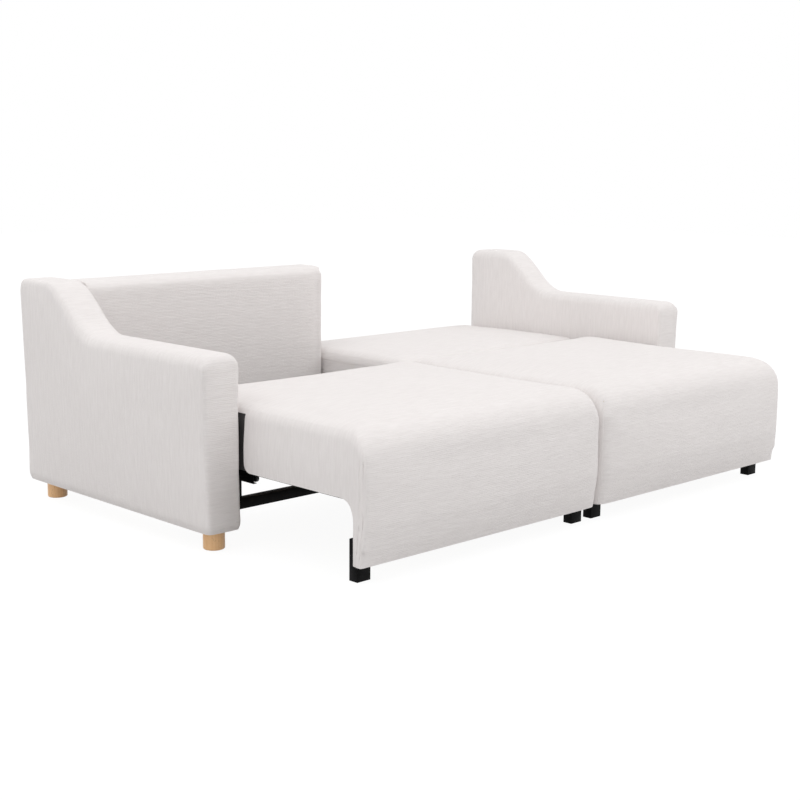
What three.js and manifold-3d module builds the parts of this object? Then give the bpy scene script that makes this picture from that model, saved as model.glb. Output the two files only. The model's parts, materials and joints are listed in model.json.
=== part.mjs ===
// A two-seat sofa bed. Each half has a seat that rolls forward and a back that folds down behind it.
// Units are millimetres. Seen from the front, X runs to the right, Y to the rear and Z up.
// The origin is on the floor, in the middle of the opened sofa. The left half has its back upright,
// the right half has its back folded flat, and both seats are pulled out.

import * as THREE from 'three';
import { mergeVertices } from 'three/addons/utils/BufferGeometryUtils.js';
import Module from 'manifold-3d';

const wasm = await Module();
wasm.setup();

// Driving sizes of the whole sofa
const sofa_width = 2320;
const open_depth = 1540;
const back_top = 745;
const bed_height = 416;
const leg_height = 64;

// Clearances, and how far a cut runs past the face it opens
const face_gap = 0.3;
const running_gap = 0.3;
const seat_side_gap = 8;
const centre_gap = 12;
const bed_gap = 6;
const closed_gap = 15;
const overrun = 8;

// Arms
const arm_depth = 1000;
const arm_thickness = 130;
const arm_front_height = 590;
const arm_shoulder_length = 165;
const arm_slope_length = 276;
const arm_slope_high_share = 0.29;
const arm_slope_low_share = 0.6;
const arm_slope_drop_share = 0.95;
const arm_edge_radius = 18;
const arm_front_radius = 30;
const arm_rear_radius = 26;
const arm_padding = 25;
const arm_panel_thickness = 18;
const arm_web_thickness = 12;
const arm_post_width = 28;
const arm_bay_height = 190;
const arm_bay_count = 5;
const arm_bay_rows = 2;

// Wooden legs
const leg_radius = 33;
const leg_edge = 3;
const leg_from_side = 80;
const leg_from_front = 60;
const leg_from_rear = 60;
const leg_bolt_radius = 5;
const leg_bolt_length = 15;
const bolt_clearance = 0.4;

// Seats
const seat_underside = 235;
const skirt_bottom = 56;
const seat_crown = 24;
const seat_front_bulge = 10;
const seat_side_draw = 3;
const crown_power = 4;
const seat_side_rounding = 20;
const seat_front_rounding = 55;
const seat_top_rounding = 45;
const seat_wall = 18;
const seat_top_wall = 24;
const seat_front_padding = 25;
const ear_depth = 50;
const ear_arch_radius = 60;
const seat_foam_thickness = 93;
const seat_frame_recess = 2;
const seat_rail_width = 40;
const seat_slat_width = 60;
const seat_slat_thickness = 16;
const seat_slat_count = 7;
const front_board_thickness = 18;
const front_board_lift = 8;

// Steel feet under the front of each seat
const foot_width = 50;
const foot_depth = 33;
const foot_height = 120;
const foot_from_side = 19;
const foot_wall = 2.5;
const foot_cap = 8;

// Backs
const back_thickness = 171;
const back_crown = 18;
const back_front_crown = 5;
const back_side_draw = 2;
const back_end_rounding = 14;
const back_edge_rounding = 34;
const pivot_to_rear = 150;
const pivot_to_bottom = 150;
const back_front_padding = 40;
const back_rear_wall = 15;
const back_top_padding = 45;
const back_foam_thickness = 35;
const back_rail_width = 50;
const back_post_width = 42;
const back_batten_width = 38;
const back_batten_count = 3;
const dust_cover_thickness = 2;

// Pivots and the stops that end the fold
const pivot_plate_thickness = 6;
const pivot_plate_front = 15;
const pivot_plate_rear = 58;
const pivot_plate_tip = 54;
const pivot_plate_tail = 30;
const pivot_pin_radius = 8;
const stop_pin_radius = 6;
const stop_radius = 40;
const pin_reach = 12;
const pin_clearance = 0.3;
const cavity_clearance = 4;
const bracket_thickness = 4;
const bracket_side = 28;
const bracket_below = 44;
const bracket_above = 14;
const centre_foot_half_width = 18;
const centre_neck = 28;

// Steel base frame
const bar_depth = 30;
const bar_height = 32;
const bar_bottom = 95;
const bar_wall = 2.5;
const front_bar_setback = 80;
const rear_bar_from_back = 36;
const end_plate_thickness = 4;
const end_plate_margin = 18;
const beam_width = 40;
const centre_leg_radius = 16;
const centre_leg_lift = 34;
const centre_flange_radius = 19;
const centre_flange_thickness = 4;
const centre_leg_share = 0.28;
const glide_radius = 25;
const glide_height = 9;
const glide_stem_radius = 5;
const glide_stem_length = 52;
const glide_bore_room = 20;

// Runners
const rail_from_arm = 62;
const rail_wall = 3;
const rail_depth = 13;
const rail_flange = 2;
const rail_height = 34;
const rail_bottom = 186;
const rail_front_setback = 11;
const rail_end_margin = 8;
const roller_radius = 12;
const roller_width = 9;
const axle_radius = 3;
const axle_clearance = 0.4;
const axle_shoulder_radius = 6;
const axle_cap = 1.2;
const roller_from_end = 12;
const runner_offset = 26;
const runner_lip = 11.5;
const runner_flange = 2.5;
const runner_bottom = 204;
const runner_plate_reach = 12;
const runner_lug = 16;
const runner_front_gap = 8;
const runner_rear_gap = 3;
const post_depth = 22;

// How finely curves are cut
const curve_steps = 6;
const bevel_steps = 3;
const arc_steps = 2;
const middle_steps = [5, 5, 2];
const round_steps = 24;
const small_round_steps = 12;

// Places that follow from the sizes above
const rear_y = open_depth / 2;
const front_y = -rear_y;
const inner_x = sofa_width / 2 - arm_thickness;
const arm_front_y = rear_y - arm_depth;
const seat_width = inner_x - seat_side_gap - centre_gap / 2;
const half_seat = seat_width / 2;
const seat_centre_x = centre_gap / 2 + half_seat;
const back_rear_y = rear_y - back_crown;
const back_front_y = back_rear_y - back_thickness;
const pivot_y = back_rear_y - pivot_to_rear;
const pivot_z = bed_height - pivot_to_rear;
const pivot_to_tip = back_top - pivot_z;
const pivot_to_front = back_thickness - pivot_to_rear;
const seat_rear_y = pivot_y - pivot_to_tip - bed_gap;
const seat_front_y = front_y + seat_front_bulge;
const seat_travel = back_front_y - closed_gap - seat_rear_y;
const seat_frame_bottom = seat_underside + seat_frame_recess;
const bar_top = bar_bottom + bar_height;
const front_bar_y = arm_front_y + front_bar_setback;
const rear_bar_y = back_front_y - rear_bar_from_back - bar_depth;
const rail_offset = inner_x - rail_from_arm - seat_centre_x;
const roller_z = rail_bottom + rail_flange + running_gap + roller_radius;
const runner_rear_y = seat_rear_y - seat_wall - runner_rear_gap;
const rear_roller_y = runner_rear_y - runner_lug;
const rail_front_y = arm_front_y + rail_front_setback;
const front_roller_y = rail_front_y + roller_from_end;
const rail_rear_y = rear_roller_y + seat_travel + roller_radius + rail_end_margin;

const across = new THREE.Vector3(1, 0, 0);
const rearward = new THREE.Vector3(0, 1, 0);
const upward = new THREE.Vector3(0, 0, 1);
const quarter_turn = Math.PI / 2;

// Turns a closed geometry into a solid that can be joined and cut
function solid_from(geometry) {
  const bare = geometry.clone();
  bare.deleteAttribute('normal');
  bare.deleteAttribute('uv');
  const merged = mergeVertices(bare);
  const corners = merged.index.array;
  const kept = [];
  for (let i = 0; i < corners.length; i += 3) {
    const [a, b, c] = corners.slice(i, i + 3);
    if (a !== b && b !== c && c !== a) kept.push(a, b, c);
  }
  const vertProperties = new Float32Array(merged.attributes.position.array);
  return new wasm.Manifold(new wasm.Mesh({ numProp: 3, vertProperties, triVerts: new Uint32Array(kept) }));
}

// Gives a solid back as a geometry
function geometry_from(solid) {
  const mesh = solid.getMesh();
  const geometry = new THREE.BufferGeometry();
  geometry.setAttribute('position', new THREE.BufferAttribute(new Float32Array(mesh.vertProperties), 3));
  geometry.setIndex(new THREE.BufferAttribute(new Uint32Array(mesh.triVerts), 1));
  geometry.computeVertexNormals();
  return geometry;
}

const join = (...solids) => solids.reduce((whole, piece) => whole.add(piece));
const cut = (body, ...tools) => tools.reduce((left, tool) => left.subtract(tool), body);

// A box between pairs of places along X, Y and Z
function block([x0, x1], [y0, y1], [z0, z1]) {
  const box = new THREE.BoxGeometry(x1 - x0, y1 - y0, z1 - z0);
  return solid_from(box.translate((x0 + x1) / 2, (y0 + y1) / 2, (z0 + z1) / 2));
}

// Two places measured from an origin towards one side, low one first
function toward(side, origin, near, far) {
  const ends = [origin + side * near, origin + side * far];
  return [Math.min(...ends), Math.max(...ends)];
}

// An outline drawn in Y and Z, carried along X
function extrude_across(outline, [x0, x1], options = {}) {
  const settings = { depth: x1 - x0, bevelEnabled: false, curveSegments: curve_steps, ...options };
  const geometry = new THREE.ExtrudeGeometry(outline, settings);
  geometry.applyMatrix4(new THREE.Matrix4().makeBasis(rearward, upward, across));
  return solid_from(geometry.translate(x0 + (options.bevelThickness ?? 0), 0, 0));
}

// A round bar along X
function bar_across(radius, [x0, x1], y, z, steps = small_round_steps) {
  const round = new THREE.CylinderGeometry(radius, radius, x1 - x0, steps);
  return solid_from(round.rotateZ(quarter_turn).translate((x0 + x1) / 2, y, z));
}

// A profile of radius and height, turned about a vertical axis
function turned(profile, x, y, z, steps = round_steps) {
  const points = profile.map(([radius, height]) => new THREE.Vector2(radius, height));
  const geometry = new THREE.LatheGeometry(points, steps);
  return solid_from(geometry.rotateX(quarter_turn).translate(x, y, z));
}

// A rectangle with corners at pairs of places
function rectangle([a0, a1], [b0, b1]) {
  const corners = [[a0, b0], [a1, b0], [a1, b1], [a0, b1]];
  return new THREE.Shape(corners.map(([a, b]) => new THREE.Vector2(a, b)));
}

// Places along one side of a padded block: tight at both rounded ends, even between them
function stations(half, rounding, even_steps) {
  const inner = half - rounding;
  const places = [];
  for (let i = arc_steps; i > 0; i--) {
    places.push(-inner - rounding * Math.tan((quarter_turn / 2) * (i / arc_steps)));
  }
  for (let i = 0; i <= even_steps; i++) {
    places.push(-inner + (2 * inner * i) / even_steps);
  }
  for (let i = 1; i <= arc_steps; i++) {
    places.push(inner + rounding * Math.tan((quarter_turn / 2) * (i / arc_steps)));
  }
  return places;
}

// A padded block about the origin: rounded edges, a crowned top and underside, drawn-in sides
// and a front that swells towards -Y
function padded_block(halves, roundings, { crown, under_crown = 0, draw = 0, bulge = 0 }) {
  const steps = middle_steps.map((even_steps) => 2 * arc_steps + even_steps);
  const geometry = new THREE.BoxGeometry(2, 2, 2, ...steps);
  const places = halves.map((half, axis) => stations(half, roundings[axis], middle_steps[axis]));
  const position = geometry.attributes.position;
  for (let i = 0; i < position.count; i++) {
    const at = position.getComponent.bind(position, i);
    const flat = [0, 1, 2].map((axis) => places[axis][Math.round(((at(axis) + 1) / 2) * steps[axis])]);
    const inner = flat.map((value, axis) => {
      const limit = halves[axis] - roundings[axis];
      return Math.max(-limit, Math.min(limit, value));
    });
    const offset = flat.map((value, axis) => (value - inner[axis]) / roundings[axis]);
    const length = Math.hypot(...offset);
    const point = inner.map((value, axis) => value + (offset[axis] / length) * roundings[axis]);
    const [u, v, w] = point.map((value, axis) => value / halves[axis]);
    const pillow = (1 - u ** crown_power) * (1 - v ** crown_power);
    point[0] -= Math.sign(u) * draw * Math.abs(u) * (1 - v * v);
    point[1] -= bulge * Math.max(0, -v) * (1 - u ** crown_power) * (1 - w * w);
    point[2] += pillow * (crown * Math.max(0, w) - under_crown * Math.max(0, -w));
    position.setXYZ(i, ...point);
  }
  return geometry;
}

// Side view of an arm: high at the rear, a soft slope, then level to the front
function arm_outline(inset, bottom) {
  const top = back_top - inset;
  const low = arm_front_height - inset;
  const rear = rear_y - inset;
  const front = arm_front_y + inset;
  const slope_start = rear_y - arm_shoulder_length;
  const slope_end = slope_start - arm_slope_length;
  const drop = top - low;
  const outline = new THREE.Shape();
  outline.moveTo(front, bottom);
  outline.lineTo(rear, bottom);
  outline.lineTo(rear, top - arm_rear_radius);
  outline.quadraticCurveTo(rear, top, rear - arm_rear_radius, top);
  outline.lineTo(slope_start, top);
  outline.bezierCurveTo(
    slope_start - arm_slope_length * arm_slope_high_share, top,
    slope_start - arm_slope_length * arm_slope_low_share, top - drop * arm_slope_drop_share,
    slope_end, low,
  );
  outline.lineTo(front + arm_front_radius, low);
  outline.quadraticCurveTo(front, low, front, low - arm_front_radius);
  outline.closePath();
  return outline;
}

function arm_span(side, inset) {
  return toward(side, 0, inner_x + inset, inner_x + arm_thickness - inset);
}

// Padded cover of an arm, open underneath for the timber inside it
function arm_cover(side) {
  const rounding = {
    bevelEnabled: true,
    bevelThickness: arm_edge_radius,
    bevelSize: arm_edge_radius,
    bevelOffset: -arm_edge_radius,
    bevelSegments: bevel_steps,
    depth: arm_thickness - 2 * arm_edge_radius,
  };
  const outer = extrude_across(arm_outline(0, leg_height - arm_edge_radius), arm_span(side, 0), rounding);
  const pocket = extrude_across(arm_outline(arm_padding, leg_height - overrun), arm_span(side, arm_padding));
  const reach = [arm_front_y - overrun, rear_y + overrun];
  const below = block(arm_span(side, -overrun), reach, [leg_height - 2 * arm_edge_radius, leg_height]);
  return cut(outer, pocket, below);
}

// Timber core of an arm: a web with posts and rails standing out of it on the inner side
function arm_frame(side) {
  const inset = arm_padding + face_gap;
  const bottom = leg_height + arm_panel_thickness + face_gap;
  const core = extrude_across(arm_outline(inset, bottom), arm_span(side, inset));
  const room = arm_depth - 2 * inset - (arm_bay_count + 1) * arm_post_width;
  const bay_length = room / arm_bay_count;
  const web_face = inner_x + arm_thickness - inset - arm_web_thickness;
  const recess = toward(side, 0, inner_x + inset - overrun, web_face);
  const bays = [];
  for (let column = 0; column < arm_bay_count; column++) {
    const start = arm_front_y + inset + arm_post_width + column * (bay_length + arm_post_width);
    for (let row = 0; row < arm_bay_rows; row++) {
      const low = bottom + arm_post_width + row * (arm_bay_height + arm_post_width);
      bays.push(block(recess, [start, start + bay_length], [low, low + arm_bay_height]));
    }
  }
  return cut(core, ...bays);
}

function leg_places(side) {
  const x = side * (sofa_width / 2 - leg_from_side);
  return { front: [x, arm_front_y + leg_from_front], rear: [x, rear_y - leg_from_rear] };
}

// Board that closes an arm underneath and takes the leg bolts
function arm_base_panel(side) {
  const inset = arm_padding + face_gap;
  const panel = block(arm_span(side, inset), [arm_front_y + inset, rear_y - inset],
    [leg_height, leg_height + arm_panel_thickness]);
  const radius = leg_bolt_radius + bolt_clearance;
  const high = arm_panel_thickness + overrun;
  const profile = [[0, -overrun], [radius, -overrun], [radius, high], [0, high]];
  const places = Object.values(leg_places(side));
  const bores = places.map(([x, y]) => turned(profile, x, y, leg_height, small_round_steps));
  return cut(panel, ...bores);
}

// Round wooden leg with its bolt
function leg([x, y]) {
  const top = leg_height - face_gap;
  const profile = [
    [0, 0], [leg_radius - leg_edge, 0], [leg_radius, leg_edge], [leg_radius, top - leg_edge],
    [leg_radius - leg_edge, top], [leg_bolt_radius, top], [leg_bolt_radius, top + leg_bolt_length],
    [0, top + leg_bolt_length],
  ];
  return turned(profile, x, y, 0);
}

// Rectangular tube across the sofa with a plate at each end
function cross_bar(y) {
  const half_length = inner_x - face_gap;
  const ys = [y, y + bar_depth];
  const zs = [bar_bottom, bar_top];
  const shrink = ([low, high]) => [low + bar_wall, high - bar_wall];
  const grow = ([low, high]) => [low - end_plate_margin, high + end_plate_margin];
  const tube = block([-half_length, half_length], ys, zs);
  const bore = block([-half_length - overrun, half_length + overrun], shrink(ys), shrink(zs));
  const plates = [-1, 1].map((side) =>
    block(toward(side, 0, half_length - end_plate_thickness, half_length), grow(ys), grow(zs)));
  return cut(join(tube, ...plates), bore);
}

// Rectangular tube down the middle, between the two cross bars
function centre_beam() {
  const ys = [front_bar_y + bar_depth + face_gap, rear_bar_y - face_gap];
  const half = beam_width / 2;
  const tube = block([-half, half], ys, [bar_bottom, bar_top]);
  const bore = block([-half + bar_wall, half - bar_wall], [ys[0] - overrun, ys[1] + overrun],
    [bar_bottom + bar_wall, bar_top - bar_wall]);
  return cut(tube, bore);
}

function centre_leg_y(end_share) {
  const start = front_bar_y + bar_depth;
  return start + (rear_bar_y - start) * end_share;
}

// Round steel leg under the middle beam, bored for its levelling glide
function centre_leg(y) {
  const top = bar_bottom - face_gap;
  const bore = glide_stem_radius + bolt_clearance;
  const bore_top = glide_height + glide_stem_length + glide_bore_room;
  const profile = [
    [bore, centre_leg_lift], [centre_leg_radius, centre_leg_lift],
    [centre_leg_radius, top - centre_flange_thickness], [centre_flange_radius, top - centre_flange_thickness],
    [centre_flange_radius, top], [0, top], [0, bore_top], [bore, bore_top], [bore, centre_leg_lift],
  ];
  return turned(profile, 0, y, 0, small_round_steps);
}

// Levelling glide: a pad on a threaded stem
function centre_glide(y) {
  const profile = [
    [0, 0], [glide_radius, 0], [glide_radius, glide_height / 2], [glide_stem_radius, glide_height],
    [glide_stem_radius, glide_height + glide_stem_length], [0, glide_height + glide_stem_length],
  ];
  return turned(profile, 0, y, 0, small_round_steps);
}

// Fixed channel of one runner, with its posts on the cross bars and the axle of its front roller
function fixed_rail(origin, side) {
  const u = (near, far) => toward(side, origin, near, far);
  const ys = [rail_front_y, rail_rear_y];
  const top = rail_bottom + rail_height;
  const shoulder_end = rail_depth + 2 * running_gap + face_gap;
  const roller_end = shoulder_end + face_gap + roller_width + face_gap;
  const cap = u(roller_end, roller_end + axle_cap);
  const posts = [front_bar_y, rear_bar_y].map((y) => {
    const margin = (bar_depth - post_depth) / 2;
    return block(u(0, rail_depth), [y + margin, y + bar_depth - margin],
      [bar_top + face_gap, rail_bottom + rail_flange]);
  });
  return join(
    block(u(0, rail_wall), ys, [rail_bottom, top]),
    block(u(0, rail_depth), ys, [rail_bottom, rail_bottom + rail_flange]),
    block(u(0, rail_depth), ys, [top - rail_flange, top]),
    bar_across(axle_shoulder_radius, u(rail_wall / 2, shoulder_end), front_roller_y, roller_z),
    bar_across(axle_radius, u(rail_wall / 2, roller_end + axle_cap), front_roller_y, roller_z),
    bar_across(axle_shoulder_radius - running_gap, cap, front_roller_y, roller_z),
    ...posts,
  );
}

// Moving rail under a seat, with a lug and an axle for its rear roller
function seat_runner(origin, side) {
  const u = (near, far) => toward(side, origin, near, far);
  const front = seat_front_y + seat_front_padding + front_board_thickness + foot_depth + runner_front_gap;
  const ys = [front, runner_rear_y];
  const top = seat_frame_bottom - face_gap;
  const lip_bottom = roller_z + roller_radius + running_gap;
  const web = u(runner_offset, runner_offset + rail_wall);
  const lip = u(runner_offset - runner_lip, runner_offset + rail_wall);
  const shoulder_end = rail_depth + face_gap;
  const lug_ys = [rear_roller_y - runner_lug, rear_roller_y + runner_lug];
  return join(
    block(web, ys, [runner_bottom, top]),
    block(web, lug_ys, [roller_z - axle_shoulder_radius - rail_wall, top]),
    block(lip, ys, [lip_bottom, lip_bottom + runner_flange]),
    block(u(-runner_plate_reach, runner_offset + rail_wall), ys, [top - runner_flange, top]),
    bar_across(axle_shoulder_radius, u(shoulder_end, runner_offset + rail_wall / 2), rear_roller_y, roller_z),
    bar_across(axle_radius, u(rail_wall + 2 * running_gap, runner_offset), rear_roller_y, roller_z),
  );
}

// Nylon roller with its bore, on an axle along X
function roller(xs, y) {
  const wheel = bar_across(roller_radius, xs, y, roller_z, round_steps);
  const bore = bar_across(axle_radius + axle_clearance, [xs[0] - overrun, xs[1] + overrun], y, roller_z);
  return cut(wheel, bore);
}

function front_roller(origin, side) {
  const start = rail_depth + 2 * running_gap + 2 * face_gap;
  return roller(toward(side, origin, start, start + roller_width), front_roller_y);
}

function rear_roller(origin, side) {
  return roller(toward(side, origin, rail_depth - roller_width, rail_depth), rear_roller_y);
}

// Space under a seat behind its front panel, with an arch where panel and side meet
function seat_undercut() {
  const front = seat_front_y + ear_depth;
  const outline = new THREE.Shape();
  outline.moveTo(front, -overrun);
  outline.lineTo(seat_rear_y + overrun, -overrun);
  outline.lineTo(seat_rear_y + overrun, seat_underside);
  outline.lineTo(front + ear_arch_radius, seat_underside);
  outline.absarc(front + ear_arch_radius, seat_underside - ear_arch_radius, ear_arch_radius,
    quarter_turn, Math.PI, false);
  outline.closePath();
  return outline;
}

function seat_pocket(inset) {
  const half = half_seat - seat_wall - inset;
  return {
    xs: [-half, half],
    ys: [seat_front_y + seat_front_padding + inset, seat_rear_y - seat_wall - inset],
    top: bed_height - seat_top_wall - inset,
  };
}

// Upholstered shell of a seat: crowned top, sides, and a front panel that returns at both ends
function seat_cover(x) {
  const depth = seat_rear_y - seat_front_y;
  const bottom = skirt_bottom - seat_top_rounding;
  const height = bed_height - bottom;
  const shape = { crown: seat_crown, draw: seat_side_draw, bulge: seat_front_bulge };
  const roundings = [seat_side_rounding, seat_front_rounding, seat_top_rounding];
  const padded = padded_block([half_seat, depth / 2, height / 2], roundings, shape);
  const outer = solid_from(padded.translate(0, seat_rear_y - depth / 2, bottom + height / 2));
  const wide = [-half_seat - overrun, half_seat + overrun];
  const pocket = seat_pocket(0);
  return cut(
    outer,
    block(wide, [front_y - overrun, seat_rear_y + overrun], [bottom - overrun, skirt_bottom]),
    extrude_across(seat_undercut(), wide),
    block(pocket.xs, pocket.ys, [bottom - overrun, pocket.top]),
  ).translate([x, 0, 0]);
}

function seat_foam(x) {
  const { xs, ys, top } = seat_pocket(face_gap);
  return block(xs.map((value) => value + x), ys, [top - seat_foam_thickness, top]);
}

// Timber frame of a seat: four rails, cross slats and the board behind the front panel
function seat_frame(x) {
  const { xs, ys, top } = seat_pocket(face_gap);
  const zs = [seat_frame_bottom, top - seat_foam_thickness - face_gap];
  const inner = [xs[0] + seat_rail_width, xs[1] - seat_rail_width];
  const opening = [ys[0] + seat_rail_width, ys[1] - seat_rail_width];
  const ring = cut(block(xs, ys, zs), block(inner, opening, [zs[0] - overrun, zs[1] + overrun]));
  const pitch = (opening[1] - opening[0]) / (seat_slat_count + 1);
  const slats = [];
  for (let i = 1; i <= seat_slat_count; i++) {
    const middle = opening[0] + i * pitch;
    slats.push(block([inner[0] - overrun, inner[1] + overrun],
      [middle - seat_slat_width / 2, middle + seat_slat_width / 2], [zs[1] - seat_slat_thickness, zs[1]]));
  }
  const board = block(xs, [ys[0], ys[0] + front_board_thickness], [skirt_bottom + front_board_lift, zs[1]]);
  return join(ring, board, ...slats).translate([x, 0, 0]);
}

// Rectangular steel foot behind the front panel, open at the top
function seat_foot(x, side) {
  const xs = toward(side, x, half_seat - foot_from_side - foot_width, half_seat - foot_from_side);
  const front = seat_front_y + seat_front_padding + front_board_thickness + 2 * face_gap;
  const ys = [front, front + foot_depth];
  const outer = block(xs, ys, [0, foot_height]);
  const bore = block([xs[0] + foot_wall, xs[1] - foot_wall], [ys[0] + foot_wall, ys[1] - foot_wall],
    [foot_cap, foot_height + overrun]);
  return cut(outer, bore);
}

// Back pieces are drawn lying flat about their own pivot line: -Y to the tip, Z up to the sleeping face

// The stop's curved path, seen from the end of a back
function stop_slot(half_width) {
  const outline = new THREE.Shape();
  outline.absarc(0, 0, stop_radius + half_width, quarter_turn, Math.PI, false);
  outline.absarc(-stop_radius, 0, half_width, Math.PI, 2 * Math.PI, false);
  outline.absarc(0, 0, stop_radius - half_width, Math.PI, quarter_turn, true);
  outline.absarc(0, stop_radius, half_width, -quarter_turn, quarter_turn, false);
  return outline;
}

// Room in the padding and timber for the pivot pin and the stop pin
function pin_room(side) {
  const reach = toward(side, 0, half_seat - pin_reach - cavity_clearance, half_seat + overrun);
  return [
    bar_across(pivot_pin_radius + cavity_clearance, reach, 0, 0),
    extrude_across(stop_slot(stop_pin_radius + cavity_clearance), reach),
  ];
}

function pivot_plate_outline(margin) {
  return rectangle([-pivot_plate_tip - margin, pivot_plate_tail + margin],
    [-pivot_plate_front - margin, pivot_plate_rear + margin]);
}

// Steel plate let into the end of a back, with the pivot bore and the curved stop slot
function pivot_plate(side) {
  const xs = toward(side, 0, half_seat - pivot_plate_thickness, half_seat);
  const through = [xs[0] - overrun, xs[1] + overrun];
  return cut(
    extrude_across(pivot_plate_outline(0), xs),
    bar_across(pivot_pin_radius + pin_clearance, through, 0, 0, round_steps),
    extrude_across(stop_slot(stop_pin_radius + pin_clearance), through),
  );
}

function back_pocket(inset) {
  const half = half_seat - pivot_plate_thickness - inset;
  return {
    xs: [-half, half],
    ys: [-pivot_to_tip + back_top_padding + inset, pivot_to_bottom],
    zs: [-pivot_to_front + back_front_padding + inset, pivot_to_rear - back_rear_wall - inset],
  };
}

// Upholstered shell of a back, open at its lower end for the foam and timber
function back_cover() {
  const length = pivot_to_tip + pivot_to_bottom + back_edge_rounding;
  const shape = { crown: back_crown, under_crown: back_front_crown, draw: back_side_draw };
  const roundings = [back_end_rounding, back_edge_rounding, back_edge_rounding];
  const padded = padded_block([half_seat, length / 2, back_thickness / 2], roundings, shape);
  const middle_z = pivot_to_rear - back_thickness / 2;
  const outer = solid_from(padded.translate(0, length / 2 - pivot_to_tip, middle_z));
  const { xs, ys, zs } = back_pocket(0);
  const wide = half_seat + overrun;
  const past = [pivot_to_bottom, pivot_to_bottom + back_edge_rounding + overrun];
  const lower_end = block([-wide, wide], past, [-back_thickness, 2 * back_thickness]);
  const recesses = [-1, 1].flatMap((side) => [
    extrude_across(pivot_plate_outline(face_gap),
      toward(side, 0, half_seat - pivot_plate_thickness - face_gap, half_seat + overrun)),
    ...pin_room(side),
  ]);
  return cut(outer, lower_end, block(xs, [ys[0], ys[1] + overrun], zs), ...recesses);
}

function back_foam() {
  const { xs, ys, zs } = back_pocket(face_gap);
  const lower = ys[1] - dust_cover_thickness - face_gap;
  return block(xs, [ys[0], lower], [zs[1] - back_foam_thickness, zs[1]]);
}

// Timber frame of a back: four rails and upright battens, relieved for the pins
function back_frame() {
  const { xs, ys, zs } = back_pocket(face_gap);
  const lengths = [ys[0], ys[1] - dust_cover_thickness - face_gap];
  const heights = [zs[0], zs[1] - back_foam_thickness - face_gap];
  const room = [xs[0] + back_post_width, xs[1] - back_post_width];
  const pitch = (room[1] - room[0] + back_batten_width) / (back_batten_count + 1);
  const windows = [];
  for (let i = 0; i <= back_batten_count; i++) {
    const start = room[0] + i * pitch;
    windows.push(block([start, start + pitch - back_batten_width],
      [lengths[0] + back_rail_width, lengths[1] - back_rail_width],
      [heights[0] - overrun, heights[1] + overrun]));
  }
  return cut(block(xs, lengths, heights), ...windows, ...pin_room(-1), ...pin_room(1));
}

// Thin cloth that closes the lower end of a back
function back_dust_cover() {
  const { xs, ys, zs } = back_pocket(face_gap);
  return block(xs, [ys[1] - dust_cover_thickness, ys[1]], zs);
}

// Pivot pin and stop pin standing out of a plate, along X
function pivot_pins(xs) {
  return [
    bar_across(pivot_pin_radius, xs, pivot_y, pivot_z, round_steps),
    bar_across(stop_pin_radius, xs, pivot_y, pivot_z + stop_radius, round_steps),
  ];
}

// Plate on the inner face of an arm with the pins that carry the outer end of a back
function arm_pivot_bracket(side) {
  const plate_end = inner_x - face_gap - bracket_thickness;
  const plate = block(toward(side, 0, plate_end, inner_x - face_gap),
    [pivot_y - bracket_side, pivot_y + bracket_side],
    [pivot_z - bracket_below, pivot_z + stop_radius + bracket_above]);
  const back_end = inner_x - seat_side_gap;
  return join(plate, ...pivot_pins(toward(side, 0, back_end - pin_reach, plate_end + bracket_thickness / 2)));
}

// Thin plate on the rear cross bar, in the gap between the backs, with pins to both sides
function centre_pivot_plate() {
  const foot = bar_top + face_gap;
  const low = pivot_z - bracket_below;
  const high = pivot_z + stop_radius + bracket_above;
  const corners = [
    [rear_bar_y, foot], [rear_bar_y + bar_depth, foot], [pivot_y + bracket_side, low],
    [pivot_y + bracket_side, high], [pivot_y - bracket_side, high], [pivot_y - bracket_side, low],
    [rear_bar_y, foot + centre_neck],
  ];
  const outline = new THREE.Shape(corners.map(([y, z]) => new THREE.Vector2(y, z)));
  const half = bracket_thickness / 2;
  const reach = centre_gap / 2 + pin_reach;
  const sole = block([-centre_foot_half_width, centre_foot_half_width],
    [rear_bar_y, rear_bar_y + bar_depth], [foot, foot + bracket_thickness]);
  return join(extrude_across(outline, [-half, half]), sole, ...pivot_pins([-reach, reach]));
}

const materials = {
  upholstery: { color: 0xded9d5, roughness: 0.95, metalness: 0 },
  foam: { color: 0xece6cf, roughness: 0.95, metalness: 0 },
  timber: { color: 0xc6a274, roughness: 0.8, metalness: 0 },
  beech: { color: 0xd9a670, roughness: 0.5, metalness: 0 },
  black_steel: { color: 0x121212, roughness: 0.45, metalness: 0.6 },
  black_plastic: { color: 0x18181a, roughness: 0.55, metalness: 0 },
  zinc_steel: { color: 0x9a9c9e, roughness: 0.4, metalness: 0.9 },
  black_cloth: { color: 0x242424, roughness: 0.95, metalness: 0 },
};

const sofa = new THREE.Group();

// Adds one named piece to a group
function add(group, name, finish, solid) {
  const mesh = new THREE.Mesh(geometry_from(solid), new THREE.MeshStandardMaterial(materials[finish]));
  mesh.name = name;
  group.add(mesh);
}

function add_arm(name, side) {
  add(sofa, `${name}_arm_cover`, 'upholstery', arm_cover(side));
  add(sofa, `${name}_arm_frame`, 'timber', arm_frame(side));
  add(sofa, `${name}_arm_base_panel`, 'timber', arm_base_panel(side));
  for (const [end, place] of Object.entries(leg_places(side))) {
    add(sofa, `${name}_${end}_leg`, 'beech', leg(place));
  }
  add(sofa, `${name}_pivot_bracket`, 'black_steel', arm_pivot_bracket(side));
}

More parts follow.
